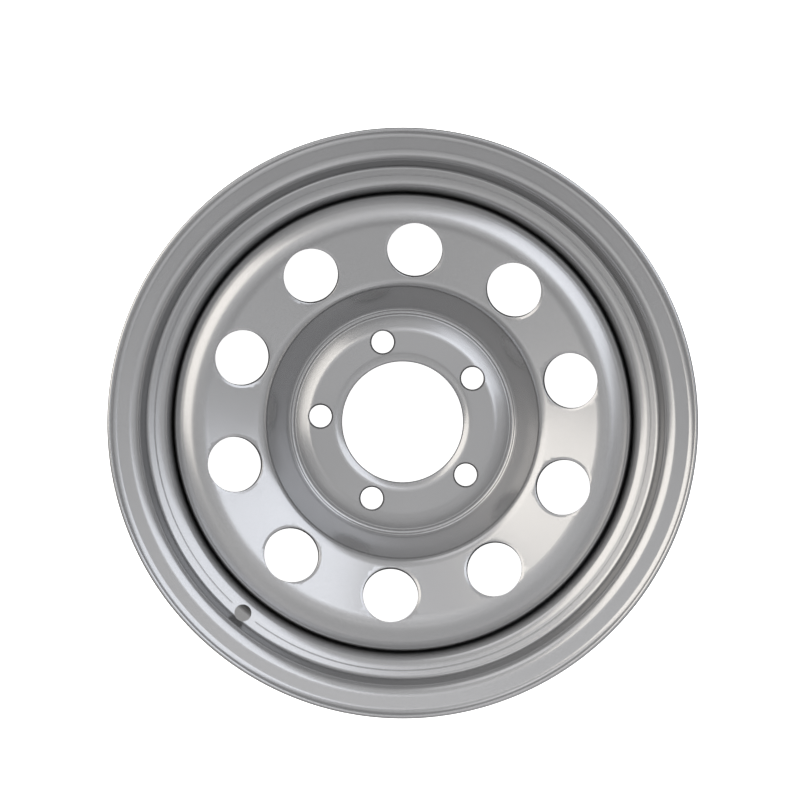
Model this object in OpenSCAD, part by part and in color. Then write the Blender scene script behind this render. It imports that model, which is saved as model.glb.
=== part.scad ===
// Pressed-steel wheel: a rolled drop-centre rim barrel with a vented, dished disc welded inside it.
// The wheel's axis is Z with its outer face up, and Z = 0 is the plane that seats on the hub.

/* [Rim barrel] */
// Nominal diameter, where the bead seats meet the flanges
rim_d = 354.8; // [350:0.2:360]
// Width between the flanges' inner faces
rim_w = 139.7; // [132:0.1:148]
// Thickness of the barrel's sheet
rim_t = 2.7; // [2:0.1:3.2]
// Height of the flanges above the nominal diameter
flange_h = 18; // [16.5:0.1:19]
// Lean of the flanges' faces from square, opening outwards, in degrees
flange_lean = 8; // [4:0.5:12]
// Radius of the flanges' outward curl, on the tyre side
curl_r = 8.2; // [7.5:0.1:9]
// How far the curl turns from the flange's face, in degrees
curl_turn = 45; // [35:1:60]
// Straight run at the free edge of the curl
lip_flat = 2.5; // [1.3:0.1:3]
// Radius between flange and bead seat, on the tyre side
heel_r = 6.5; // [5:0.1:7.2]
// Taper of the bead seats, in degrees
seat_taper = 5; // [4:0.5:6]
// Depth of the well below the nominal diameter
well_h = 17.5; // [16.6:0.1:18.5]
// Distance from the front flange to the well's front wall
front_wall_in = 24; // [23:0.1:28]
// Lean of the well's front wall from square, in degrees
wall_lean = 16.5; // [12:0.5:22]
// Radius at the top of the front wall, on the tyre side
wall_top_r = 5.8; // [4.5:0.1:7]
// Radius at the foot of the front wall, on the tyre side
wall_foot_r = 8.6; // [7:0.1:10]
// Radius of the section of the groove rolled into the front wall
wall_groove_r = 0.5; // [0.4:0.1:0.8]
// Depth of that groove
wall_groove_depth = 0.35; // [0.2:0.05:0.4]
// Where the well's floor ends, behind the hub plane
well_back = 10; // [8:0.5:14]
// Distance from the back flange to the top of the well's long back slope
back_slope_in = 26; // [24:0.5:30]
// Radius at the foot of the back slope, on the tyre side
back_foot_r = 12; // [8:0.5:16]
// Radius at the top of the back slope, on the tyre side
back_top_r = 10; // [6:0.5:16]

/* [Valve hole] */
// Diameter of the valve hole
valve_d = 11.5; // [10:0.1:12.5]
// Direction of the valve hole about the axis, in degrees
valve_at = 230; // [0:1:359]
// Lean of the valve hole towards the axis, in degrees
valve_lean = 10; // [6:0.5:16]
// Width of the plain stretch that the front wall's groove leaves for the valve
valve_gap = 20; // [16:0.5:26]

/* [Disc] */
// Thickness of the disc's sheet
disc_t = 4; // [3.5:0.1:4.5]
// Diameter of the centre bore
bore_d = 84; // [78:0.1:86]
// Front radius of the bore's turned-back lip
bore_lip_r = 11.5; // [10:0.1:12]
// How far the bore's lip is turned back, in degrees
bore_lip_turn = 35; // [32:0.5:36]
// Height of the raised lug ring's back above the hub plane
ring_rise = 3.2; // [3:0.1:3.8]
// Radius where the lug ring ends
ring_r = 64.4; // [64:0.1:65]
// Front radius of the lug ring's outer edge
ring_edge_r = 12; // [10:0.5:14]
// Radius where the seating land starts
land_r = 74.2; // [73.6:0.1:74.4]
// Front radius of the bend between the ring's flank and the land
land_bend_r = 1.5; // [1:0.1:2]
// Radius where the recess wall rises from the land
recess_r = 78.5; // [78:0.1:80]
// Front radius at the foot of the recess wall
recess_foot_r = 5; // [4:0.1:5.5]
// Steepness of the recess wall, in degrees
recess_angle = 63; // [58:0.5:67]
// Height of the recess wall's top above the land
recess_h = 31; // [27:0.5:34]
// Front radius at the top of the recess wall
recess_top_r = 11; // [9:0.5:14]
// Slope of the vent band, in degrees
band_slope = 18; // [15:0.5:20]
// Front radius of the crown outside the vent holes
crown_r = 25; // [22:0.5:25.5]
// Distance of the crown's corner inside the disc's flange
crown_in = 17.6; // [17.2:0.1:19]
// Fall of the shoulder outside the crown, in degrees
shoulder_fall = 22; // [20:0.5:23]
// Distance of the shoulder's outer corner inside the disc's flange
shoulder_in = 3.4; // [3:0.1:3.6]
// Front radius of that corner
shoulder_r = 7; // [6:0.1:7.5]
// Steepness of the side between the shoulder and the flange, in degrees
side_angle = 80; // [78:0.5:82]
// Front radius of the bend between the side and the flange
side_bend_r = 15; // [10:1:20]
// Height of the disc flange's back edge above the hub plane
flange_end = 3; // [1.5:0.5:8]
// Radius of the coined groove's section at the foot of the recess wall
groove_r = 1.6; // [1.3:0.1:2]
// Depth of the coined groove
groove_depth = 1; // [0.6:0.1:1.2]

/* [Holes in the disc] */
// Number of lug holes
lug_count = 5; // [3:1:6]
// Diameter of the lug bolt circle
lug_circle_d = 114.3; // [112:0.1:116]
// Diameter of the lug holes
lug_d = 15.5; // [13:0.1:16]
// Diameter of the cone seats at the front
lug_seat_d = 17.8; // [17:0.1:19]
// Included angle of the cone seats, in degrees
lug_seat_angle = 60; // [50:1:90]
// Number of vent holes
vent_count = 10; // [6:1:12]
// Diameter of the vent holes
vent_d = 37.4; // [32:0.1:40]
// Distance of the vent holes' centres inside the disc's flange
vent_in = 40.4; // [38:0.1:42]
// Depth of the break around the vent holes' front edges
vent_break = 0.6; // [0.3:0.1:1]

/* [Welds] */
// Number of weld beads behind the disc's flange
weld_count = 5; // [3:1:8]
// Length of each bead, in degrees
weld_arc = 36; // [20:1:42]
// Height of the beads along the barrel
weld_leg = 4; // [3:0.1:5]

/* [Hidden] */
$fn = 96;
silver = [0.76, 0.77, 0.78];
weld_grey = [0.62, 0.63, 0.64];
// Turn between neighbouring points of a bend
bend_step = 5;
// Rounding on the corners of a cut sheet edge
edge_r = 0.4;
// How far a cutting tool runs past what it cuts
past = 20;

nominal_r = rim_d / 2;
flange_z = rim_w / 2;
well_r = nominal_r - well_h;
// The disc's flange seats on the well's inner face
disc_r = well_r - rim_t;
front_wall_z = flange_z - front_wall_in;
back_top_z = back_slope_in - flange_z;
wall_top_at = seat_r(front_wall_z);
// The groove and the valve hole lie about midway on the front wall
wall_mid_r = well_r + 0.54 * (wall_top_at - well_r);
// The flanges' free edges are rolled almost half round
lip_edge_r = 0.46 * rim_t;
lip_angle = flange_lean + curl_turn;
curl_run = curl_r * tan(curl_turn / 2);
// The curl's centre lies so that the rounded free edge reaches the flange's full height
curl_centre_r = nominal_r + flange_h - curl_r * sin(lip_angle) - lip_flat * cos(lip_angle)
    - lip_edge_r * (1 - cos(lip_angle) - sin(lip_angle));
curl_corner_r = curl_centre_r + curl_r * sin(flange_lean) + curl_run * cos(flange_lean);
curl_corner = [curl_corner_r, flange_z + (curl_corner_r - nominal_r) * tan(flange_lean)];
lip_end = curl_corner + (curl_run + lip_flat) * [cos(lip_angle), sin(lip_angle)];

bore_r = bore_d / 2;
ring_z = ring_rise + disc_t;
land_z = disc_t;
lip_corner = [bore_r + bore_lip_r * (sin(bore_lip_turn) - tan(bore_lip_turn / 2)), ring_z];
// The lip is pressed longer than needed and the bore is then pierced through it
lip_start = lip_corner
    - (bore_lip_r * tan(bore_lip_turn / 2) + 2 * disc_t) * [cos(bore_lip_turn), sin(bore_lip_turn)];
recess_top_z = land_z + recess_h;
recess_top_at = recess_r + recess_h / tan(recess_angle);
crown_at = disc_r - crown_in;
shoulder_at = disc_r - shoulder_in;
shoulder_z = band_z(crown_at) - (shoulder_at - crown_at) * tan(shoulder_fall);
vent_r = disc_r - vent_in;
lug_circle_r = lug_circle_d / 2;
vent_pitch = 360 / vent_count;
// One vent hole lines up with the valve hole, and the lug holes fall midway between vent holes
lug_at = valve_at + vent_pitch / 2;
// The groove stands where the foot of the recess wall starts to curve
groove_at = recess_r - recess_foot_r * tan(recess_angle / 2) + groove_r / 2;

function wall_z(r) = front_wall_z - (wall_top_at - r) * tan(wall_lean);
function seat_r(z) = nominal_r - (flange_z - abs(z)) * tan(seat_taper);
function band_z(r) = recess_top_z + (r - recess_top_at) * tan(band_slope);

// Corners of the barrel's tyre side from the front lip to the back lip, each as [radius, height, bend radius]
rim_path = [
    [lip_end.x, lip_end.y, 0],
    [curl_corner.x, curl_corner.y, curl_r],
    [nominal_r, flange_z, heel_r],
    [wall_top_at, front_wall_z, wall_top_r],
    [well_r, wall_z(well_r), wall_foot_r],
    [well_r, -well_back, back_foot_r],
    [seat_r(back_top_z), back_top_z, back_top_r],
    [nominal_r, -flange_z, heel_r],
    [curl_corner.x, -curl_corner.y, curl_r],
    [lip_end.x, -lip_end.y, 0],
];

// Corners of the disc's front from the bore's lip out to the flange's back edge
disc_path = [
    [lip_start.x, lip_start.y, 0],
    [lip_corner.x, lip_corner.y, bore_lip_r],
    [ring_r, ring_z, ring_edge_r],
    [land_r, land_z, land_bend_r],
    [recess_r, land_z, recess_foot_r],
    [recess_top_at, recess_top_z, recess_top_r],
    [crown_at, band_z(crown_at), crown_r],
    [shoulder_at, shoulder_z, shoulder_r],
    [disc_r, shoulder_z - shoulder_in * tan(side_angle), side_bend_r],
    [disc_r, flange_end, 0],
];

function flat(p) = [p.x, p.y];
function unit(v) = v / norm(v);
function left_of(v) = [-v.y, v.x];
function spun(v, a) = [v.x * cos(a) - v.y * sin(a), v.x * sin(a) + v.y * cos(a)];
function heading(path, i) = unit(flat(path[i + 1]) - flat(path[i]));
function reversed(list) = [for (i = [len(list) - 1 : -1 : 0]) list[i]];

// Points of the bend at corner i, on the line that runs depth to the right of the path
function bend(path, i, depth) =
    let (
        into = heading(path, i - 1),
        out = heading(path, i),
        turn = atan2(into.x * out.y - into.y * out.x, into * out),
        side = sign(turn),
        radius = path[i].z,
        start = flat(path[i]) - radius * tan(abs(turn) / 2) * into,
        centre = start + side * radius * left_of(into),
        steps = ceil(abs(turn) / bend_step)
    )
    [for (k = [0 : steps]) centre - (depth + side * radius) * spun(left_of(into), turn * k / steps)];

function bends(path, depth) = [for (i = [1 : len(path) - 2]) each bend(path, i, depth)];

// The free edge of a sheet at the point p, from the path's side to the other, with corners of radius r
function free_edge(p, inward, across, t, r) = concat(
    [for (a = [0 : 30 : 90]) p + r * (1 - sin(a)) * inward + r * (1 - cos(a)) * across],
    [for (a = [90 : -30 : 0]) p + r * (1 - sin(a)) * inward + (t - r + r * cos(a)) * across]
);

// Section of a bent sheet with one face on the path, its thickness to the right of it and its free edges rounded by r
module sheet_section(path, t, r) {
    last = len(path) - 1;
    from = heading(path, 0);
    to = heading(path, last - 1);
    polygon(concat(
        reversed(free_edge(flat(path[0]), from, -left_of(from), t, r)),
        bends(path, 0),
        free_edge(flat(path[last]), -to, -left_of(to), t, r),
        reversed(bends(path, t))
    ));
}

// Places its children at a radius and a height, in equal steps about the axis
module around(count, first, r, z) {
    for (k = [0 : count - 1])
        rotate(first + k * 360 / count)
            translate([r, 0, z])
                children();
}

// A through hole along Z whose mouth at Z = 0 is widened to mouth_r by a cone of the given half angle
module coned_hole(r, mouth_r, half_angle) {
    cone_h = (mouth_r - r) / tan(half_angle);
    cylinder(r = r, h = 2 * past, center = true);
    translate([0, 0, -cone_h])
        cylinder(r1 = r, r2 = mouth_r + past * tan(half_angle), h = cone_h + past);
}

// Cutter for the groove in the front wall's outer face, which stops short of the valve hole on both sides
module wall_groove() {
    gap = 2 * asin(valve_gap / 2 / wall_mid_r);
    out = (rim_t - wall_groove_depth + wall_groove_r) * [-sin(wall_lean), cos(wall_lean)];
    rotate(valve_at + gap / 2)
        rotate_extrude(angle = 360 - gap)
            translate([wall_mid_r, wall_z(wall_mid_r)] + out)
                circle(r = wall_groove_r);
}

module rim_barrel() {
    color(silver)
    difference() {
        rotate_extrude()
            sheet_section(rim_path, rim_t, lip_edge_r);
        wall_groove();
        rotate(valve_at)
            translate([wall_mid_r, 0, wall_z(wall_mid_r)])
                rotate([0, -valve_lean, 0])
                    cylinder(d = valve_d, h = past, center = true);
    }
}

module wheel_disc() {
    color(silver)
    difference() {
        rotate_extrude()
            difference() {
                sheet_section(disc_path, disc_t, edge_r);
                translate([groove_at, land_z - groove_depth + groove_r])
                    circle(r = groove_r);
                translate([0, -past])
                    square([bore_r, 3 * past]);
            }
        around(lug_count, lug_at, lug_circle_r, ring_z)
            coned_hole(lug_d / 2, lug_seat_d / 2, lug_seat_angle / 2);
        around(vent_count, valve_at, vent_r, band_z(vent_r))
            rotate([0, -band_slope, 0])
                coned_hole(vent_d / 2, vent_d / 2 + vent_break, 45);
    }
}

// Fillet beads in the corner between the flange's back edge and the well's floor
module weld_beads() {
    bead_w = 0.9 * disc_t;
    bulge = weld_leg / 10;
    color(weld_grey)
    for (k = [0 : weld_count - 1])
        rotate(lug_at + k * 360 / weld_count - weld_arc / 2)
            rotate_extrude(angle = weld_arc)
                polygon([
                    [disc_r, flange_end],
                    [disc_r - bead_w, flange_end],
                    [disc_r - bead_w / 2 - bulge, flange_end - weld_leg / 2 - bulge],
                    [disc_r, flange_end - weld_leg],
                ]);
}

rim_barrel();
wheel_disc();
weld_beads();
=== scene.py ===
"""Looks of a pressed-steel wheel rim: a rolled barrel, a vented disc and the weld beads that join them."""

import logging
import math
from dataclasses import dataclass, field
from enum import Enum

import bpy
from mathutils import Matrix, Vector


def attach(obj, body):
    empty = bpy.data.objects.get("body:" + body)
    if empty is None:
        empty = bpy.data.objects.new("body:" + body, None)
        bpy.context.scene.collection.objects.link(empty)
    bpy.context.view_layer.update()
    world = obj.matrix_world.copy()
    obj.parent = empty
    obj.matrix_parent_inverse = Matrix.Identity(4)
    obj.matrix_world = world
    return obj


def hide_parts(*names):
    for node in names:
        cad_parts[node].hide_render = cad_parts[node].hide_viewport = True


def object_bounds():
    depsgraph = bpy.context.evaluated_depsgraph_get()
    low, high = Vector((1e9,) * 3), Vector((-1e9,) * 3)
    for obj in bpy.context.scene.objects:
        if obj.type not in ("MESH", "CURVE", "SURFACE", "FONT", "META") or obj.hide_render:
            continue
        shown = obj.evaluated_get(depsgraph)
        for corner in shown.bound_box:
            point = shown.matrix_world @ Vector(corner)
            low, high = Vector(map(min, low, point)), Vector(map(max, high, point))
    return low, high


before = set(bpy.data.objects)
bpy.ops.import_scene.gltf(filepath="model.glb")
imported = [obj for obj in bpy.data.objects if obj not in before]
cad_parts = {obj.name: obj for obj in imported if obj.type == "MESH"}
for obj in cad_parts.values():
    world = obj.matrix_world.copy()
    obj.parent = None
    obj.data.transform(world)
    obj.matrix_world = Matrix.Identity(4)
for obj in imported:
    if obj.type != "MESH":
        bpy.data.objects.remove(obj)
CAD_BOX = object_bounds()

log = logging.getLogger("wheel_rim")

MM = 0.001
BODY = "root"
ORIGIN = Vector((0, 0, 0))
# Steps of the quarter turn that rounds an edge
QUARTER = [math.radians(a) for a in (0, 22.5, 45, 67.5, 90)]
# Halvings that find where a line crosses a circle
HALVINGS = 30
Point = tuple[float, float]


class Slot(Enum):
    """Finishes that the record names."""

    SILVER = "silver_paint"
    WELD = "painted_weld"


class Node(Enum):
    """Pieces of the wheel, by their names in the frame."""

    BARREL = "rim_barrel"
    DISC = "wheel_disc"
    WELDS = "weld_beads"


def linear(hex_colour: str) -> tuple[float, float, float, float]:
    """Turns an sRGB hex colour to linear light.

    Args:
        hex_colour: Six hex digits, with or without a leading hash.

    Returns:
        Red, green, blue and an alpha of one.
    """
    digits = hex_colour.lstrip("#")
    parts = [int(digits[i:i + 2], 16) / 255 for i in (0, 2, 4)]
    light = [p / 12.92 if p <= 0.04045 else ((p + 0.055) / 1.055) ** 2.4 for p in parts]
    return (light[0], light[1], light[2], 1.0)


def add_node(tree: bpy.types.NodeTree, kind: str, inputs: dict | None = None, **settings) -> bpy.types.Node:
    """Adds a shader node with its settings, values and links.

    Args:
        tree: Node tree that gets the node.
        kind: Blender's name of the node type.
        inputs: Value or linked socket for each input, by name or number.
        **settings: Properties of the node itself.

    Returns:
        The new node.
    """
    node = tree.nodes.new(kind)
    for name, value in settings.items():
        setattr(node, name, value)
    for socket, value in (inputs or {}).items():
        if isinstance(value, bpy.types.NodeSocket):
            tree.links.new(value, node.inputs[socket])
        else:
            node.inputs[socket].default_value = value
    return node


def start_fresh() -> None:
    """Deselects everything, so that the next operator acts on its own piece alone."""
    bpy.ops.object.select_all(action="DESELECT")


def pick(*pieces: bpy.types.Object) -> None:
    """Selects only these pieces, with the first one active.

    Args:
        *pieces: Objects to select.
    """
    start_fresh()
    for piece in pieces:
        piece.select_set(True)
    bpy.context.view_layer.objects.active = pieces[0]


def apply_modifier(piece: bpy.types.Object, kind: str, **settings) -> None:
    """Adds a modifier with its settings and applies it.

    Args:
        piece: Object that gets the modifier.
        kind: Blender's name of the modifier type.
        **settings: Properties of the modifier.
    """
    pick(piece)
    modifier = piece.modifiers.new(kind.lower(), kind)
    for name, value in settings.items():
        setattr(modifier, name, value)
    bpy.ops.object.modifier_apply(modifier=modifier.name)


def close_mesh(piece: bpy.types.Object, reach: float = 0.002) -> None:
    """Merges doubled points and turns all faces outwards.

    Args:
        piece: Object whose mesh is closed.
        reach: Distance under which points are merged, in millimetres.
    """
    pick(piece)
    bpy.ops.object.mode_set(mode="EDIT")
    bpy.ops.mesh.select_all(action="SELECT")
    bpy.ops.mesh.remove_doubles(threshold=reach * MM)
    bpy.ops.mesh.normals_make_consistent(inside=False)
    bpy.ops.object.mode_set(mode="OBJECT")


def turned(name: str, outline: list[Point], steps: int, sweep: float = 360.0) -> bpy.types.Object:
    """Turns a closed section about the Z axis.

    The section is drawn as a chain of extruded points, from a plane that is merged to its first point.

    Args:
        name: Name of the new object.
        outline: Points of the section as radius and height, in millimetres.
        steps: Number of steps in the turn.
        sweep: How far it turns, in degrees. The ends of less than a full turn are filled.

    Returns:
        The turned object, with its place in its mesh.
    """
    start_fresh()
    first = outline[0]
    bpy.ops.mesh.primitive_plane_add(size=MM, location=(first[0] * MM, 0, first[1] * MM))
    piece = bpy.context.object
    piece.name = name
    piece.data.name = name
    bpy.ops.object.transform_apply(location=True, rotation=True, scale=True)
    bpy.ops.object.mode_set(mode="EDIT")
    bpy.ops.mesh.select_all(action="SELECT")
    bpy.ops.mesh.merge(type="CENTER")
    for here, there in zip(outline, outline[1:] + outline[:1]):
        stride = ((there[0] - here[0]) * MM, 0, (there[1] - here[1]) * MM)
        bpy.ops.mesh.extrude_vertices_move(TRANSFORM_OT_translate={"value": stride})
    bpy.ops.object.mode_set(mode="OBJECT")
    close_mesh(piece)
    apply_modifier(
        piece, "SCREW", axis="Z", angle=math.radians(sweep), steps=steps, render_steps=steps,
        use_merge_vertices=sweep == 360, merge_threshold=1e-6,
    )
    if sweep < 360:
        bpy.ops.object.mode_set(mode="EDIT")
        bpy.ops.mesh.select_all(action="SELECT")
        bpy.ops.mesh.fill_holes(sides=0)
        bpy.ops.object.mode_set(mode="OBJECT")
    close_mesh(piece)
    return piece


def lay(piece: bpy.types.Object, turn: tuple[float, float, float], place: Vector) -> None:
    """Turns and moves a piece, then puts its place in its mesh.

    Args:
        piece: Object to lay.
        turn: Turns about X, Y and Z, in degrees.
        place: Where its origin goes, in millimetres.
    """
    pick(piece)
    piece.rotation_euler = [math.radians(a) for a in turn]
    piece.location = place * MM
    bpy.ops.object.transform_apply(location=True, rotation=True, scale=True)


def copy_of(piece: bpy.types.Object) -> bpy.types.Object:
    """Copies a piece with a mesh of its own.

    Args:
        piece: Object to copy.

    Returns:
        The copy.
    """
    pick(piece)
    bpy.ops.object.duplicate(linked=False)
    return bpy.context.object


def around(piece: bpy.types.Object, count: int, first: float) -> bpy.types.Object:
    """Repeats a piece about the wheel's axis.

    Args:
        piece: Object in its place at angle zero.
        count: Number of pieces.
        first: Direction of the first one, in degrees.

    Returns:
        All of them joined into one object.
    """
    copies = [piece] + [copy_of(piece) for _ in range(count - 1)]
    for k, one in enumerate(copies):
        lay(one, (0, 0, first + k * 360 / count), ORIGIN)
    pick(*copies)
    bpy.ops.object.join()
    return bpy.context.object


def cut(piece: bpy.types.Object, cutter: bpy.types.Object) -> None:
    """Cuts a piece with a cutter, which is then removed."""
    apply_modifier(piece, "BOOLEAN", operation="DIFFERENCE", solver="MANIFOLD", object=cutter)
    bpy.data.objects.remove(cutter)


def shade(piece: bpy.types.Object, angle: float = 30) -> None:
    """Shades a piece smooth, except at edges sharper than an angle in degrees."""
    pick(piece)
    bpy.ops.object.shade_smooth_by_angle(angle=math.radians(angle))


def hand_over(piece: bpy.types.Object, node: Node, finish: bpy.types.Material) -> None:
    """Dresses a piece, hangs it on the root body, and hides the CAD part that it stands in for.

    Args:
        piece: The finished piece.
        node: Node that it stands for.
        finish: Material that it wears.
    """
    piece.data.materials.clear()
    piece.data.materials.append(finish)
    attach(piece, BODY)
    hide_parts(node.value)
    log.info("%s: %d faces in %s", piece.name, len(piece.data.polygons), finish.name)


@dataclass(frozen=True)
class Corner:
    """Corner of a bent sheet: its radius from the axis, height and bend radius, in millimetres."""

    r: float
    z: float
    bend: float = 0.0

    @property
    def at(self) -> Vector:
        """The corner's place in the section."""
        return Vector((self.r, self.z))


@dataclass
class BentSheet:
    """Section of a sheet that is bent along a path, with its thickness to the right of the path.

    Attributes:
        path: Corners of the face that the path follows; the first and last are the cut edges.
        thickness: Thickness of the sheet, in millimetres.
        edge_r: Rounding of the cut edges' corners, in millimetres.
        step: Turn between neighbouring points of a bend, in degrees.
        guard: Distance from a bend of the points that hold the next face flat, in millimetres.
        span: Longest stretch of a straight run without a point, in millimetres.
    """

    path: list[Corner]
    thickness: float
    edge_r: float = 0.5
    step: float = 5.0
    guard: float = 0.3
    span: float = 5.0

    def heading(self, i: int) -> Vector:
        """Direction from corner i to the next one."""
        return (self.path[i + 1].at - self.path[i].at).normalized()

    def right(self, i: int) -> Vector:
        """Direction across the sheet after corner i, away from the path."""
        along = self.heading(i)
        return Vector((along.y, -along.x))

    def bend(self, i: int, depth: float) -> list[Vector]:
        """Points of the bend at a corner.

        Args:
            i: Number of the corner.
            depth: Distance of the drawn line from the path, in millimetres.

        Returns:
            Points from the start of the bend to its end.
        """
        into, out = self.heading(i - 1), self.heading(i)
        turn = math.atan2(into.x * out.y - into.y * out.x, into.dot(out))
        side = math.copysign(1.0, turn)
        radius = self.path[i].bend
        left = Vector((-into.y, into.x))
        start = self.path[i].at - radius * math.tan(abs(turn) / 2) * into
        centre = start + side * radius * left
        count = max(2, math.ceil(math.degrees(abs(turn)) / self.step))
        points = []
        for k in range(count + 1):
            a = turn * k / count
            cos, sin = math.cos(a), math.sin(a)
            spoke = Vector((left.x * cos - left.y * sin, left.x * sin + left.y * cos))
            points.append(centre - (depth + side * radius) * spoke)
        return points

    def run(self, a: Vector, b: Vector) -> list[Vector]:
        """Points inside a straight run, close to both ends and no further apart than the span.

        Args:
            a: Start of the run.
            b: End of the run.

        Returns:
            Points between a and b, or none where the run is too short for them.
        """
        length = (b - a).length
        if length < 3 * self.guard:
            return []
        count = max(1, math.ceil((length - 2 * self.guard) / self.span))
        steps = [self.guard + (length - 2 * self.guard) * k / count for k in range(count + 1)]
        return [a + (b - a) * (s / length) for s in steps]

    def side(self, depth: float) -> list[Vector]:
        """Points of one face of the sheet, from its first cut edge to its last.

        Args:
            depth: Distance of the face from the path, in millimetres.

        Returns:
            Points of the face.
        """
        last = len(self.path) - 1
        first_end = self.path[0].at + self.edge_r * self.heading(0) + depth * self.right(0)
        last_end = self.path[last].at - self.edge_r * self.heading(last - 1) + depth * self.right(last - 1)
        points = [first_end]
        for i in range(1, last):
            arc = self.bend(i, depth)
            points += self.run(points[-1], arc[0]) + arc
        return points + self.run(points[-1], last_end) + [last_end]

    def edge(self, end: Vector, out: Vector, across: Vector) -> list[Vector]:
        """Points of a rounded cut edge, without the ends of the faces that it joins.

        Args:
            end: Corner of the edge where it starts.
            out: Direction out of the sheet.
            across: Direction across the edge.

        Returns:
            Points across the edge.
        """
        r = self.edge_r
        near = end - r * out + r * across
        far = end - r * out + (self.thickness - r) * across
        points = [near + r * (math.sin(a) * out - math.cos(a) * across) for a in QUARTER[1:]]
        return points + [far + r * (math.cos(a) * out + math.sin(a) * across) for a in QUARTER[:-1]]

    def outline(self) -> list[Point]:
        """Draws the closed section, from the first cut edge along the path and back.

        Returns:
            Points of the section as radius and height, in millimetres.
        """
        last = len(self.path) - 1
        to, across_to = self.heading(last - 1), self.right(last - 1)
        start, across_start = self.heading(0), self.right(0)
        points = self.side(0)
        points += self.edge(self.path[last].at, to, across_to)
        points += list(reversed(self.side(self.thickness)))
        far_start = self.path[0].at + self.thickness * across_start
        points += self.edge(far_start, -start, -across_start)
        return [(p.x, p.y) for p in points]


@dataclass(frozen=True)
class SilverEnamel:
    """Baked silver enamel, sprayed over pressed steel.

    The aluminium flake in the paint gives a metal's soft sheen, a thin clear skin over it gives a second,
    sharper gloss, and the sprayed film leaves a faint orange peel.

    Attributes:
        name: Name of the material.
        flake_light: Colour of the flakes that face out.
        flake_dark: Colour of the flakes that lean away.
        gloss: Lowest and highest roughness, from the wettest to the driest spray.
        flake_mm: Size of a flake cluster. Real flakes are too fine to show, so clusters are drawn.
        peel_mm: Width of the orange peel's waves.
        peel_um: Height of the orange peel's waves, in thousandths of a millimetre.
        cloud_mm: Width of the spray's wetter and drier patches.
        flake_span: Stretch of the clusters' pattern, from 0 to 1, over which the colour changes.
        cloud_span: Stretch of the patches' pattern, from 0 to 1, over which the roughness changes.
        clear: Strength of the clear skin.
        clear_gloss: Roughness of the clear skin.
        metal: Share of the sheen that is a metal's.
        grazing: Tint of the sheen at a grazing angle, where the flakes shade each other.
    """

    name: str
    flake_light: str = "#BFBFC0"
    flake_dark: str = "#B9B9BA"
    gloss: tuple[float, float] = (0.21, 0.26)
    flake_mm: float = 0.9
    peel_mm: float = 2.2
    peel_um: float = 0.7
    cloud_mm: float = 70.0
    flake_span: tuple[float, float] = (0.35, 0.65)
    cloud_span: tuple[float, float] = (0.3, 0.7)
    clear: float = 0.15
    clear_gloss: float = 0.06
    metal: float = 0.75
    grazing: str = "#7C7C7C"

    def material(self) -> bpy.types.Material:
        """Makes the material.

        Returns:
            The material, with its patterns on object coordinates.
        """
        finish = bpy.data.materials.new(self.name)
        finish.use_nodes = True
        tree = finish.node_tree
        tree.nodes.clear()
        place = add_node(tree, "ShaderNodeTexCoord").outputs["Object"]
        flake = add_node(
            tree, "ShaderNodeTexNoise",
            {"Vector": place, "Scale": 1 / (self.flake_mm * MM), "Detail": 1.0, "Roughness": 0.6},
        )
        colour = add_node(tree, "ShaderNodeValToRGB", {"Fac": flake.outputs["Fac"]})
        colour.color_ramp.elements[0].position = self.flake_span[0]
        colour.color_ramp.elements[0].color = linear(self.flake_dark)
        colour.color_ramp.elements[1].position = self.flake_span[1]
        colour.color_ramp.elements[1].color = linear(self.flake_light)
        cloud = add_node(
            tree, "ShaderNodeTexNoise", {"Vector": place, "Scale": 1 / (self.cloud_mm * MM), "Detail": 3.0},
        )
        gloss = add_node(
            tree, "ShaderNodeMapRange",
            {"Value": cloud.outputs["Fac"], "From Min": self.cloud_span[0], "From Max": self.cloud_span[1],
             "To Min": self.gloss[0], "To Max": self.gloss[1]},
        )
        peel = add_node(
            tree, "ShaderNodeTexNoise", {"Vector": place, "Scale": 1 / (self.peel_mm * MM), "Detail": 1.0},
        )
        bump = add_node(
            tree, "ShaderNodeBump",
            {"Height": peel.outputs["Fac"], "Strength": 1.0, "Distance": self.peel_um * MM * MM},
        )
        paint = add_node(
            tree, "ShaderNodeBsdfPrincipled",
            {"Base Color": colour.outputs["Color"], "Roughness": gloss.outputs["Result"],
             "Normal": bump.outputs["Normal"], "Metallic": self.metal,
             "Specular Tint": linear(self.grazing),
             "Coat Weight": self.clear, "Coat Roughness": self.clear_gloss},
        )
        add_node(tree, "ShaderNodeOutputMaterial", {"Surface": paint.outputs["BSDF"]})
        return finish


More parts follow.
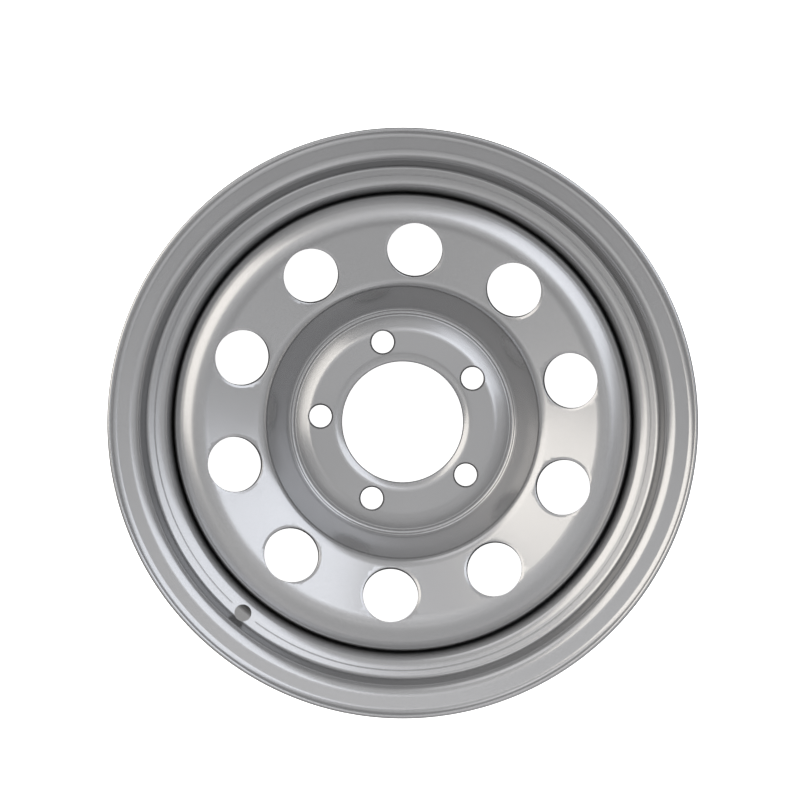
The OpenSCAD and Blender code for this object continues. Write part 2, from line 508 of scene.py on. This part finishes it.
@dataclass
class RimBarrel:
    """The rolled hoop: curled flanges, bead seats, drop-centre well and the valve hole.

    Lengths are in millimetres and angles in degrees.

    Attributes:
        nominal_d: Diameter where the bead seats meet the flanges.
        width: Width between the flanges.
        sheet: Thickness of the sheet.
        flange_h: Height of the flanges over the nominal radius.
        flange_lean: How far the flanges lean out.
        curl_r: Bend radius of the curl.
        curl_turn: How far the curl turns.
        lip_flat: Straight stretch from the curl to the free edge.
        edge_share: Rounding of the free edge, as a share of the sheet's thickness.
        heel_r: Bend radius between a seat and its flange.
        seat_taper: Taper of the bead seats.
        well_h: Depth of the well under the nominal radius.
        front_wall_in: Distance of the front wall's top from the front flange.
        wall_lean: How far the front wall leans.
        wall_top_r: Bend radius at the front wall's top.
        wall_foot_r: Bend radius at its foot.
        mid_share: Place of the groove and the valve hole on the front wall, from its foot to its top.
        groove_r: Radius of the groove in the front wall.
        groove_depth: Depth of that groove.
        groove_sides: Sides of the groove's round section.
        well_back: Distance from the middle to the back end of the well's floor.
        back_slope_in: Distance of the back slope's top from the back flange.
        back_foot_r: Bend radius at the back slope's foot.
        back_top_r: Bend radius at its top.
        valve_d: Diameter of the valve hole.
        valve_at: Direction of the valve hole from +X.
        valve_lean: How far the valve hole leans from the wheel's axis.
        valve_gap: Gap in the groove at the valve hole.
        steps: Steps in the full turn.
    """

    nominal_d: float = 354.8
    width: float = 139.7
    sheet: float = 2.7
    flange_h: float = 18.0
    flange_lean: float = 8.0
    curl_r: float = 8.2
    curl_turn: float = 45.0
    lip_flat: float = 2.5
    edge_share: float = 0.46
    heel_r: float = 6.5
    seat_taper: float = 5.0
    well_h: float = 17.5
    front_wall_in: float = 24.0
    wall_lean: float = 16.5
    wall_top_r: float = 5.8
    wall_foot_r: float = 8.6
    mid_share: float = 0.54
    groove_r: float = 0.5
    groove_depth: float = 0.35
    groove_sides: int = 16
    well_back: float = 10.0
    back_slope_in: float = 26.0
    back_foot_r: float = 12.0
    back_top_r: float = 10.0
    valve_d: float = 11.5
    valve_at: float = 230.0
    valve_lean: float = 10.0
    valve_gap: float = 20.0
    steps: int = 360

    @property
    def nominal_r(self) -> float:
        """Radius where the bead seats meet the flanges."""
        return self.nominal_d / 2

    @property
    def well_r(self) -> float:
        """Radius of the well's floor on the tyre side."""
        return self.nominal_r - self.well_h

    @property
    def inner_r(self) -> float:
        """Radius of the well's inner face, where the disc seats."""
        return self.well_r - self.sheet

    def seat_r(self, z: float) -> float:
        """Radius of the bead seats at a height."""
        return self.nominal_r - (self.width / 2 - abs(z)) * math.tan(math.radians(self.seat_taper))

    @property
    def edge_r(self) -> float:
        """Rounding of the flanges' free edges, which are rolled almost half round."""
        return self.edge_share * self.sheet

    @property
    def wall_top(self) -> Point:
        """Radius and height of the corner at the top of the well's front wall."""
        top_z = self.width / 2 - self.front_wall_in
        return (self.seat_r(top_z), top_z)

    @property
    def wall_mid_r(self) -> float:
        """Radius of the groove and the valve hole, about midway on the front wall."""
        return self.well_r + self.mid_share * (self.wall_top[0] - self.well_r)

    def wall_z(self, r: float) -> float:
        """Height of the front wall's tyre side at a radius."""
        top_r, top_z = self.wall_top
        return top_z - (top_r - r) * math.tan(math.radians(self.wall_lean))

    def flange(self) -> tuple[Corner, Corner]:
        """Places the corners of the front flange.

        Returns:
            Its free edge, and the corner where its face turns into the curl.
        """
        lean = math.radians(self.flange_lean)
        rise = lean + math.radians(self.curl_turn)
        run = self.curl_r * math.tan((rise - lean) / 2)
        reach = self.nominal_r + self.flange_h - self.edge_r * (1 - math.cos(rise) - math.sin(rise))
        centre_r = reach - self.curl_r * math.sin(rise) - self.lip_flat * math.cos(rise)
        curl_r = centre_r + self.curl_r * math.sin(lean) + run * math.cos(lean)
        curl = Corner(curl_r, self.width / 2 + (curl_r - self.nominal_r) * math.tan(lean), self.curl_r)
        lip = curl.at + (run + self.lip_flat) * Vector((math.cos(rise), math.sin(rise)))
        return Corner(lip.x, lip.y), curl

    def section(self) -> BentSheet:
        """Draws the section of the hoop.

        Returns:
            The bent sheet, along its tyre side from the front lip to the back lip.
        """
        flange_z = self.width / 2
        lip, curl = self.flange()
        back_top_z = self.back_slope_in - flange_z
        return BentSheet(
            path=[
                lip,
                curl,
                Corner(self.nominal_r, flange_z, self.heel_r),
                Corner(*self.wall_top, self.wall_top_r),
                Corner(self.well_r, self.wall_z(self.well_r), self.wall_foot_r),
                Corner(self.well_r, -self.well_back, self.back_foot_r),
                Corner(self.seat_r(back_top_z), back_top_z, self.back_top_r),
                Corner(self.nominal_r, -flange_z, self.heel_r),
                Corner(curl.r, -curl.z, curl.bend),
                Corner(lip.r, -lip.z),
            ],
            thickness=self.sheet, edge_r=self.edge_r, step=6.0, span=12.0,
        )

    def groove_cutter(self) -> bpy.types.Object:
        """Makes the cutter for the groove in the front wall's outer face.

        Returns:
            The cutter, which stops short of the valve hole on both sides.
        """
        lean = math.radians(self.wall_lean)
        r = self.groove_r
        out = (self.sheet - self.groove_depth + r) * Vector((-math.sin(lean), math.cos(lean)))
        centre = Vector((self.wall_mid_r, self.wall_z(self.wall_mid_r))) + out
        angles = [math.tau * k / self.groove_sides for k in range(self.groove_sides)]
        ring = [(centre.x + r * math.cos(a), centre.y + r * math.sin(a)) for a in angles]
        gap = 2 * math.degrees(math.asin(self.valve_gap / 2 / self.wall_mid_r))
        cutter = turned("groove_cutter", ring, self.steps, 360 - gap)
        lay(cutter, (0, 0, self.valve_at + gap / 2), ORIGIN)
        return cutter

    def valve_cutter(self) -> bpy.types.Object:
        """Makes the cutter for the valve hole.

        Returns:
            The cutter in its place.
        """
        radius, reach = self.valve_d / 2, 10.0
        outline = [(0, -reach), (radius, -reach), (radius, reach), (0, reach)]
        cutter = turned("valve_cutter", outline, steps=72)
        lay(cutter, (0, -self.valve_lean, 0), Vector((self.wall_mid_r, 0, self.wall_z(self.wall_mid_r))))
        lay(cutter, (0, 0, self.valve_at), ORIGIN)
        return cutter

    def build(self, finish: bpy.types.Material) -> bpy.types.Object:
        """Makes the hoop and dresses it.

        Args:
            finish: Material that it wears.

        Returns:
            The finished piece.
        """
        hoop = turned("barrel", self.section().outline(), self.steps)
        cut(hoop, self.groove_cutter())
        cut(hoop, self.valve_cutter())
        shade(hoop)
        hand_over(hoop, Node.BARREL, finish)
        return hoop


@dataclass
class WheelDisc:
    """The dished pressing: bore lip, lug ring, recess, vent band and the flange that seats in the well.

    Lengths are in millimetres and angles in degrees.

    Attributes:
        outer_r: Radius of the flange, which seats in the well.
        valve_at: Direction of the valve hole, in line with the first vent hole.
        sheet: Thickness of the sheet.
        bore_d: Diameter of the bore.
        bore_lip_r: Bend radius of the bore's lip.
        bore_lip_turn: How far the lip turns back.
        bore_break: Break on the bore's two edges.
        ring_rise: Height of the lug ring over the seating land.
        ring_r: Radius of the lug ring's outer corner.
        ring_edge_r: Bend radius of that corner.
        land_r: Radius of the corner where the seating land starts.
        land_bend_r: Bend radius of that corner.
        recess_r: Radius of the recess wall's foot.
        recess_foot_r: Bend radius of the foot.
        recess_angle: Slope of the recess wall.
        recess_h: Height of the recess wall.
        recess_top_r: Bend radius at its top.
        band_slope: Slope of the vent band.
        crown_r: Bend radius of the crown.
        crown_in: Distance of the crown's corner from the flange's outside.
        shoulder_fall: Slope of the shoulder.
        shoulder_in: Distance of the shoulder's corner from the flange's outside.
        shoulder_r: Bend radius of the shoulder's corner.
        side_angle: Slope of the side.
        side_bend_r: Bend radius between the side and the flange.
        flange_end: Height of the flange's back edge.
        groove_r: Radius of the coined groove.
        groove_depth: Depth of that groove.
        groove_steps: Steps across the groove's bottom.
        lug_count: Number of lug holes.
        lug_circle_d: Diameter of the lug holes' circle.
        lug_d: Diameter of a lug hole.
        lug_seat_d: Diameter of its cone seat at the front.
        lug_seat_angle: Full angle of the cone.
        vent_count: Number of vent holes.
        vent_d: Diameter of a vent hole.
        vent_in: Distance of the vent holes' middles from the flange's outside.
        vent_break: Rounding of a vent hole's front edge.
        steps: Steps in the full turn.
    """

    outer_r: float
    valve_at: float
    sheet: float = 4.0
    bore_d: float = 84.0
    bore_lip_r: float = 11.5
    bore_lip_turn: float = 35.0
    bore_break: float = 0.3
    ring_rise: float = 3.2
    ring_r: float = 64.4
    ring_edge_r: float = 12.0
    land_r: float = 74.2
    land_bend_r: float = 1.5
    recess_r: float = 78.5
    recess_foot_r: float = 5.0
    recess_angle: float = 63.0
    recess_h: float = 31.0
    recess_top_r: float = 11.0
    band_slope: float = 18.0
    crown_r: float = 25.0
    crown_in: float = 17.6
    shoulder_fall: float = 22.0
    shoulder_in: float = 3.4
    shoulder_r: float = 7.0
    side_angle: float = 80.0
    side_bend_r: float = 15.0
    flange_end: float = 3.0
    groove_r: float = 1.6
    groove_depth: float = 1.0
    groove_steps: int = 10
    lug_count: int = 5
    lug_circle_d: float = 114.3
    lug_d: float = 15.5
    lug_seat_d: float = 17.8
    lug_seat_angle: float = 60.0
    vent_count: int = 10
    vent_d: float = 37.4
    vent_in: float = 40.4
    vent_break: float = 0.6
    steps: int = 360

    @property
    def ring_z(self) -> float:
        """Height of the lug ring's front."""
        return self.ring_rise + self.sheet

    @property
    def recess_top(self) -> Point:
        """Radius and height of the corner at the top of the recess wall."""
        top_r = self.recess_r + self.recess_h / math.tan(math.radians(self.recess_angle))
        return (top_r, self.sheet + self.recess_h)

    @property
    def lug_at(self) -> float:
        """Direction of the first lug hole, midway between two vent holes."""
        return self.valve_at + 180 / self.vent_count

    def band_z(self, r: float) -> float:
        """Height of the vent band's front at a radius."""
        top_r, top_z = self.recess_top
        return top_z + (r - top_r) * math.tan(math.radians(self.band_slope))

    def bore_lip(self) -> tuple[Corner, Corner]:
        """Places the corners of the bore's turned-back lip.

        Returns:
            Its edge, which reaches inside the bore until it is pierced, and the lip's bend.
        """
        turn = math.radians(self.bore_lip_turn)
        run = self.bore_lip_r * math.tan(turn / 2)
        corner_r = self.bore_d / 2 + self.bore_lip_r * math.sin(turn) - run
        length = run + 2 * self.sheet
        start = Corner(corner_r - length * math.cos(turn), self.ring_z - length * math.sin(turn))
        return start, Corner(corner_r, self.ring_z, self.bore_lip_r)

    def pierced(self, outline: list[Point]) -> list[Point]:
        """Trims the section at the bore, with a small break on the bore's two edges.

        Args:
            outline: Section that reaches inside the bore.

        Returns:
            Section that ends at the bore's wall.
        """
        bore_r, brk = self.bore_d / 2, self.bore_break
        kept = [i for i, p in enumerate(outline) if p[0] > bore_r + brk]
        walls = []
        for inside, outside in ((kept[0] - 1, kept[0]), (kept[-1] + 1, kept[-1])):
            a, b = Vector(outline[inside % len(outline)]), Vector(outline[outside])
            walls.append([a.lerp(b, (r - a.x) / (b.x - a.x)) for r in (bore_r, bore_r + brk)])
        front, back = walls
        ends = [back[1], back[0] + Vector((0, brk)), front[0] - Vector((0, brk)), front[1]]
        return [(p.x, p.y) for p in ends] + [outline[i] for i in kept]

    def section(self) -> BentSheet:
        """Draws the section of the pressing.

        Returns:
            The bent sheet, along its front from the bore's lip to the flange's back edge.
        """
        top_r, top_z = self.recess_top
        crown_at = self.outer_r - self.crown_in
        crown_z = self.band_z(crown_at)
        shoulder_at = self.outer_r - self.shoulder_in
        shoulder_z = crown_z - (shoulder_at - crown_at) * math.tan(math.radians(self.shoulder_fall))
        side_z = shoulder_z - self.shoulder_in * math.tan(math.radians(self.side_angle))
        return BentSheet(
            path=[
                *self.bore_lip(),
                Corner(self.ring_r, self.ring_z, self.ring_edge_r),
                Corner(self.land_r, self.sheet, self.land_bend_r),
                Corner(self.recess_r, self.sheet, self.recess_foot_r),
                Corner(top_r, top_z, self.recess_top_r),
                Corner(crown_at, crown_z, self.crown_r),
                Corner(shoulder_at, shoulder_z, self.shoulder_r),
                Corner(self.outer_r, side_z, self.side_bend_r),
                Corner(self.outer_r, self.flange_end),
            ],
            thickness=self.sheet, edge_r=0.5, step=6.0, span=4.5,
        )

    def grooved(self, outline: list[Point]) -> list[Point]:
        """Cuts the coined groove into the section, where the foot of the recess wall starts to curve.

        Args:
            outline: Section of the plain pressing.

        Returns:
            Section with the groove's round bottom in it.
        """
        foot_run = self.recess_foot_r * math.tan(math.radians(self.recess_angle / 2))
        at = self.recess_r - foot_run + self.groove_r / 2
        centre = Vector((at, self.sheet - self.groove_depth + self.groove_r))
        points = [Vector(p) for p in outline]
        near = [i for i, p in enumerate(points) if (p - centre).length < self.groove_r]
        inside = [i for i in near if points[i].y > self.sheet / 2]
        first_in, last_in = inside[0], inside[-1]
        ends = []
        for a, b in ((points[first_in - 1], points[first_in]), (points[last_in + 1], points[last_in])):
            low, high = 0.0, 1.0
            for _ in range(HALVINGS):
                mid = (low + high) / 2
                low, high = (mid, high) if (a.lerp(b, mid) - centre).length > self.groove_r else (low, mid)
            ends.append(a.lerp(b, low))
        first, last = (math.atan2(e.y - centre.y, e.x - centre.x) for e in ends)
        first -= math.tau if first > 0 else 0.0
        last += math.tau if last < first else 0.0
        angles = [first + (last - first) * k / self.groove_steps for k in range(self.groove_steps + 1)]
        floor = [centre + self.groove_r * Vector((math.cos(a), math.sin(a))) for a in angles]
        kept = points[:first_in] + floor + points[last_in + 1:]
        return [(p.x, p.y) for p in kept]

    def vent_cutters(self) -> bpy.types.Object:
        """Makes the cutters for the vent holes, square to the band, with a rounded mouth.

        Returns:
            All cutters as one object.
        """
        radius, brk, reach = self.vent_d / 2, self.vent_break, 14.0
        flare, lift = 1.2, 0.4
        mouth = [(radius + brk - brk * math.cos(a), brk * math.sin(a) - brk) for a in QUARTER]
        wide = radius + brk + flare
        outline = [(0, -reach), (radius, -reach), *mouth, (wide, lift), (wide, reach), (0, reach)]
        cutter = turned("vent_cutter", outline, steps=120)
        place = self.outer_r - self.vent_in
        lay(cutter, (0, -self.band_slope, 0), Vector((place, 0, self.band_z(place))))
        return around(cutter, self.vent_count, self.valve_at)

    def lug_cutters(self) -> bpy.types.Object:
        """Makes the cutters for the lug holes, with their cone seats and soft edges.

        Returns:
            All cutters as one object.
        """
        radius, seat_r, reach = self.lug_d / 2, self.lug_seat_d / 2, 12.0
        slope = math.tan(math.radians(self.lug_seat_angle / 2))
        depth = (seat_r - radius) / slope
        foot_break, mouth_break = 0.1, 0.15
        brim = [(seat_r + out, up) for out, up in ((0.12, 0.02), (0.5, 0.12), (1.0, reach))]
        outline = [
            (0, -reach),
            (radius, -reach),
            (radius, -depth - foot_break),
            (radius + foot_break * slope, -depth + foot_break),
            (seat_r - mouth_break * slope, -mouth_break),
            *brim,
            (0, reach),
        ]
        cutter = turned("lug_cutter", outline, steps=96)
        lay(cutter, (0, 0, 0), Vector((self.lug_circle_d / 2, 0, self.ring_z)))
        return around(cutter, self.lug_count, self.lug_at)

    def build(self, finish: bpy.types.Material) -> bpy.types.Object:
        """Makes the pressing and dresses it.

        Args:
            finish: Material that it wears.

        Returns:
            The finished piece.
        """
        pressing = turned("disc", self.pierced(self.grooved(self.section().outline())), self.steps)
        cut(pressing, self.vent_cutters())
        cut(pressing, self.lug_cutters())
        shade(pressing)
        hand_over(pressing, Node.DISC, finish)
        return pressing


@dataclass
class WeldBeads:
    """The fillet beads behind the disc's flange, laid in overlapping ripples.

    Lengths are in millimetres and angles in degrees.

    Attributes:
        seat_r: Radius of the well's inner face.
        flange_end: Height of the disc's back edge.
        sheet: Thickness of the disc.
        first_at: Direction of the first bead's middle.
        count: Number of beads.
        arc: Length of a bead around the axis.
        leg: Length of the leg that stands on the well.
        width_share: Length of the leg on the disc's edge, as a share of the disc's thickness.
        heart_share: Distance of a bead's middle from its inner corner, as a share of the legs.
        swell_share: Half widths of the section that a bead starts from, as a share of the legs.
        ripple: Length of a ripple.
        per_ripple: Steps in one ripple.
        wave: Relative size where a ripple starts, and how much it gains.
        end_size: Size of a bead's ends, relative to its middle.
        end_ripples: Ripples over which an end tapers.
        sides: Sides of a bead's section.
    """

    seat_r: float
    flange_end: float
    sheet: float
    first_at: float
    count: int = 5
    arc: float = 36.0
    leg: float = 4.0
    width_share: float = 0.9
    heart_share: float = 0.33
    swell_share: float = 0.52
    ripple: float = 2.6
    per_ripple: int = 4
    wave: tuple[float, float] = (0.95, 0.07)
    end_size: float = 0.55
    end_ripples: float = 2.0
    sides: int = 14

    @property
    def steps(self) -> int:
        """Steps along one bead."""
        return self.per_ripple * round(math.radians(self.arc) * self.seat_r / self.ripple)

    def bead(self) -> bpy.types.Object:
        """Makes one bead at angle zero, by extruding its section ripple by ripple.

        Returns:
            The bead, which starts at angle zero.
        """
        width = self.width_share * self.sheet
        start_fresh()
        bpy.ops.mesh.primitive_circle_add(
            vertices=self.sides, radius=MM, fill_type="NGON", location=(0, 0, 0),
            rotation=(math.pi / 2, 0, 0),
        )
        bead = bpy.context.object
        bead.name = "bead"
        bpy.ops.object.transform_apply(location=True, rotation=True, scale=True)
        inward, down = self.heart_share * width, self.heart_share * self.leg
        heart = Vector((self.seat_r - inward, 0, self.flange_end - down)) * MM
        swell = (self.swell_share * width, 1.0, self.swell_share * self.leg)
        bpy.ops.object.mode_set(mode="EDIT")
        bpy.ops.mesh.select_all(action="SELECT")
        bpy.ops.transform.resize(value=swell, center_override=(0, 0, 0))
        bpy.ops.transform.translate(value=heart)
        turn = math.radians(self.arc) / self.steps
        sizes = [self.size_at(k) for k in range(self.steps + 1)]
        for k in range(self.steps):
            bpy.ops.mesh.extrude_region_move(TRANSFORM_OT_translate={"value": (0, 0, 0)})
            bpy.ops.transform.rotate(value=-turn, orient_axis="Z", center_override=(0, 0, 0))
            angle = turn * (k + 1)
            centre = (heart.x * math.cos(angle), heart.x * math.sin(angle), heart.z)
            grow = sizes[k + 1] / sizes[k]
            bpy.ops.transform.resize(value=(grow, grow, grow), center_override=centre)
        bpy.ops.object.mode_set(mode="OBJECT")
        close_mesh(bead)
        return bead

    def size_at(self, k: int) -> float:
        """Relative size of the bead at a step, with its ripples and its rounded ends.

        Args:
            k: Number of the step.

        Returns:
            Size relative to the bead's full section.
        """
        start, gain = self.wave
        wave = start + gain * ((k % self.per_ripple) / self.per_ripple) ** 2
        from_end = min(1.0, min(k, self.steps - k) / (self.end_ripples * self.per_ripple))
        fullness = math.sqrt(max(0.0, 1 - (1 - from_end) ** 2))
        return wave * (self.end_size + (1 - self.end_size) * fullness)

    def build(self, finish: bpy.types.Material) -> bpy.types.Object:
        """Makes all beads and dresses them.

        Args:
            finish: Material that they wear.

        Returns:
            The beads as one piece.
        """
        row = around(self.bead(), self.count, self.first_at - self.arc / 2)
        row.name = "welds"
        shade(row, angle=50)
        hand_over(row, Node.WELDS, finish)
        return row


def towards(azimuth: float, off_axis: float) -> Vector:
    """Direction from the wheel's middle, by its angles about and from the wheel's axis, in degrees."""
    a, t = math.radians(azimuth), math.radians(off_axis)
    return Vector((math.sin(t) * math.cos(a), math.sin(t) * math.sin(a), math.cos(t)))


@dataclass(frozen=True)
class SoftPatch:
    """Soft patch of the studio's walls and ceiling.

    Attributes:
        azimuth: Direction about the wheel's axis, in degrees from +X.
        off_axis: Angle from the wheel's axis, in degrees.
        core: Angle from its middle up to which it has its full strength.
        edge: Angle from its middle where it ends.
        gain: Light that it adds, or takes where it is negative.
    """

    azimuth: float
    off_axis: float
    core: float
    edge: float
    gain: float

    @property
    def direction(self) -> Vector:
        """Direction of the patch's middle."""
        return towards(self.azimuth, self.off_axis)


@dataclass(frozen=True)
class SoftBox:
    """Large flat lamp that faces the wheel.

    Attributes:
        name: Name of the lamp.
        azimuth: Direction about the wheel's axis, in degrees from +X.
        off_axis: Angle from the wheel's axis, in degrees.
        distance: Distance from the wheel's middle, in metres.
        length: Size away from the axis, in metres.
        width: Size around the axis, in metres.
        glow: Brightness of its face.
        colour: Tint of its light.
    """

    name: str
    azimuth: float
    off_axis: float
    distance: float
    length: float
    width: float
    glow: float
    colour: str

    def hang(self) -> None:
        """Hangs the lamp in its place."""
        place = towards(self.azimuth, self.off_axis) * self.distance
        turn = (0, math.radians(self.off_axis), math.radians(self.azimuth))
        start_fresh()
        bpy.ops.object.light_add(type="AREA", location=place, rotation=turn)
        lamp = bpy.context.object
        lamp.name = self.name
        lamp.data.shape = "RECTANGLE"
        lamp.data.size = self.length
        lamp.data.size_y = self.width
        lamp.data.energy = self.glow * math.pi * self.length * self.width
        lamp.data.color = linear(self.colour)[:3]
        lamp.visible_camera = False


@dataclass(frozen=True)
class FloorSheet:
    """Flat sheet under the wheel.

    Attributes:
        name: Name of the sheet.
        size: Length of its sides, in metres.
        drop: How far it lies under the wheel, in metres.
        glow: Brightness of its own light.
        colour: Colour of its surface.
        mirrored: Whether the paint mirrors it and takes its light, or only the camera sees it.
    """

    name: str
    size: float
    drop: float
    glow: float
    colour: str
    mirrored: bool = True

    def spread(self, floor_z: float) -> None:
        """Spreads the sheet under the wheel.

        Args:
            floor_z: Height of the wheel's lowest point, in metres.
        """
        start_fresh()
        bpy.ops.mesh.primitive_plane_add(size=self.size, location=(0, 0, floor_z - self.drop))
        plane = bpy.context.object
        plane.name = self.name
        finish = bpy.data.materials.new(self.name)
        finish.use_nodes = True
        tree = finish.node_tree
        tree.nodes.clear()
        skin = add_node(
            tree, "ShaderNodeBsdfPrincipled",
            {"Base Color": linear(self.colour), "Roughness": 0.9, "Emission Color": linear("#FFFFFF"),
             "Emission Strength": self.glow},
        )
        add_node(tree, "ShaderNodeOutputMaterial", {"Surface": skin.outputs["BSDF"]})
        plane.data.materials.append(finish)
        if not self.mirrored:
            plane.visible_glossy = False
            plane.visible_diffuse = False
            plane.visible_shadow = False


@dataclass
class Studio:
    """A pale floor, soft lamps at the picture's left, upper right and foot, and a camera above the wheel.

    Attributes:
        floor_z: Height of the wheel's lowest point, in metres.
        camera_at: Place of the camera, in metres.
        camera_lens: Focal length of the camera, in millimetres.
        ambient: Brightness of the walls and ceiling.
        tint: Colour of the walls and ceiling.
        dusk: Heights between which the walls darken, where -1 is straight down and 1 straight up.
        dusk_level: Share of the light that the lowest part of the walls keeps.
        patches: Lighter and darker parts of the walls and ceiling.
        lamps: Lamps around the wheel.
        sheets: Sheets of the floor.
    """

    floor_z: float
    camera_at: tuple[float, float, float] = (-0.0018, 0.0152, 1.5)
    camera_lens: float = 96.9
    ambient: float = 0.57
    tint: str = "#FDFDFE"
    dusk: tuple[float, float] = (-0.05, 0.4)
    dusk_level: float = 0.22
    patches: list[SoftPatch] = field(default_factory=lambda: [
        SoftPatch(azimuth=275, off_axis=22, core=6, edge=40, gain=-0.3),
        SoftPatch(azimuth=80, off_axis=15, core=2, edge=28, gain=0.3),
        SoftPatch(azimuth=115, off_axis=82, core=8, edge=26, gain=1.0),
        SoftPatch(azimuth=292, off_axis=85, core=6, edge=24, gain=0.8),
        SoftPatch(azimuth=225, off_axis=80, core=10, edge=40, gain=-0.3),
    ])
    lamps: list[SoftBox] = field(default_factory=lambda: [
        SoftBox("left_box", 157, 56, 2.0, 2.6, 1.4, 1.6, "#FFF9EF"),
        SoftBox("right_box", 41, 49, 2.0, 2.6, 1.2, 1.28, "#EEF3FC"),
        SoftBox("low_fill", 270, 32, 0.68, 0.6, 0.9, 0.27, "#FFFFFF"),
    ])
    sheets: list[FloorSheet] = field(default_factory=lambda: [
        FloorSheet("sweep", size=12.0, drop=0.0005, glow=1.05, colour="#FFFFFF", mirrored=False),
        FloorSheet("card", size=0.14, drop=0.0015, glow=0.22, colour="#FFFFFF"),
        FloorSheet("ground", size=12.0, drop=0.0025, glow=0.0, colour="#3C3B3A"),
    ])

    def light(self) -> None:
        """Sets the soft surroundings and hangs the lamps."""
        world = bpy.data.worlds.new("studio")
        bpy.context.scene.world = world
        world.use_nodes = True
        tree = world.node_tree
        tree.nodes.clear()
        direction = add_node(tree, "ShaderNodeTexCoord").outputs["Generated"]
        level = self.ambient
        for patch in self.patches:
            lean = add_node(
                tree, "ShaderNodeVectorMath", {0: direction, 1: patch.direction}, operation="DOT_PRODUCT",
            )
            fade = add_node(
                tree, "ShaderNodeMapRange",
                {"Value": lean.outputs["Value"], "From Min": math.cos(math.radians(patch.edge)),
                 "From Max": math.cos(math.radians(patch.core)), "To Min": 0.0, "To Max": patch.gain},
                interpolation_type="SMOOTHSTEP",
            )
            total = add_node(tree, "ShaderNodeMath", {0: fade.outputs["Result"], 1: level}, operation="ADD")
            level = total.outputs["Value"]
        height = add_node(tree, "ShaderNodeSeparateXYZ", {"Vector": direction}).outputs["Z"]
        dusk = add_node(
            tree, "ShaderNodeMapRange",
            {"Value": height, "From Min": self.dusk[0], "From Max": self.dusk[1],
             "To Min": self.dusk_level, "To Max": 1.0},
        )
        level = add_node(
            tree, "ShaderNodeMath", {0: level, 1: dusk.outputs["Result"]}, operation="MULTIPLY",
        ).outputs["Value"]
        glow = add_node(tree, "ShaderNodeBackground", {"Color": linear(self.tint), "Strength": level})
        add_node(tree, "ShaderNodeOutputWorld", {"Surface": glow.outputs["Background"]})
        for lamp in self.lamps:
            lamp.hang()

    def floor(self) -> None:
        """Lays the sweep that the camera sees, over the card and the ground that the paint mirrors."""
        for sheet in self.sheets:
            sheet.spread(self.floor_z)

    def camera(self) -> None:
        """Sets the camera straight above the wheel, a little towards its upper edge."""
        start_fresh()
        bpy.ops.object.camera_add(location=self.camera_at, rotation=(0, 0, 0))
        camera = bpy.context.object
        camera.data.sensor_width = 36.0
        camera.data.lens = self.camera_lens
        camera.data.clip_start = 0.01
        camera.data.clip_end = 50.0
        bpy.context.scene.camera = camera


def main() -> None:
    """Builds the wheel and its studio."""
    logging.basicConfig(level=logging.INFO, format="%(name)s: %(message)s")
    studio = Studio(floor_z=CAD_BOX[0].z)
    studio.camera()
    silver = SilverEnamel("baked_silver_enamel").material()
    bead_paint = SilverEnamel(
        "silver_enamel_over_weld", flake_light="#C9CBCE", flake_dark="#B4B6B9",
        gloss=(0.32, 0.4), peel_um=4.0,
    ).material()
    barrel = RimBarrel()
    barrel.build(silver)
    disc = WheelDisc(outer_r=barrel.inner_r, valve_at=barrel.valve_at)
    disc.build(silver)
    WeldBeads(barrel.inner_r, disc.flange_end, disc.sheet, disc.lug_at).build(bead_paint)
    studio.floor()
    studio.light()
    bpy.context.scene.view_settings.view_transform = "Standard"


if __name__ == "__main__":
    main()
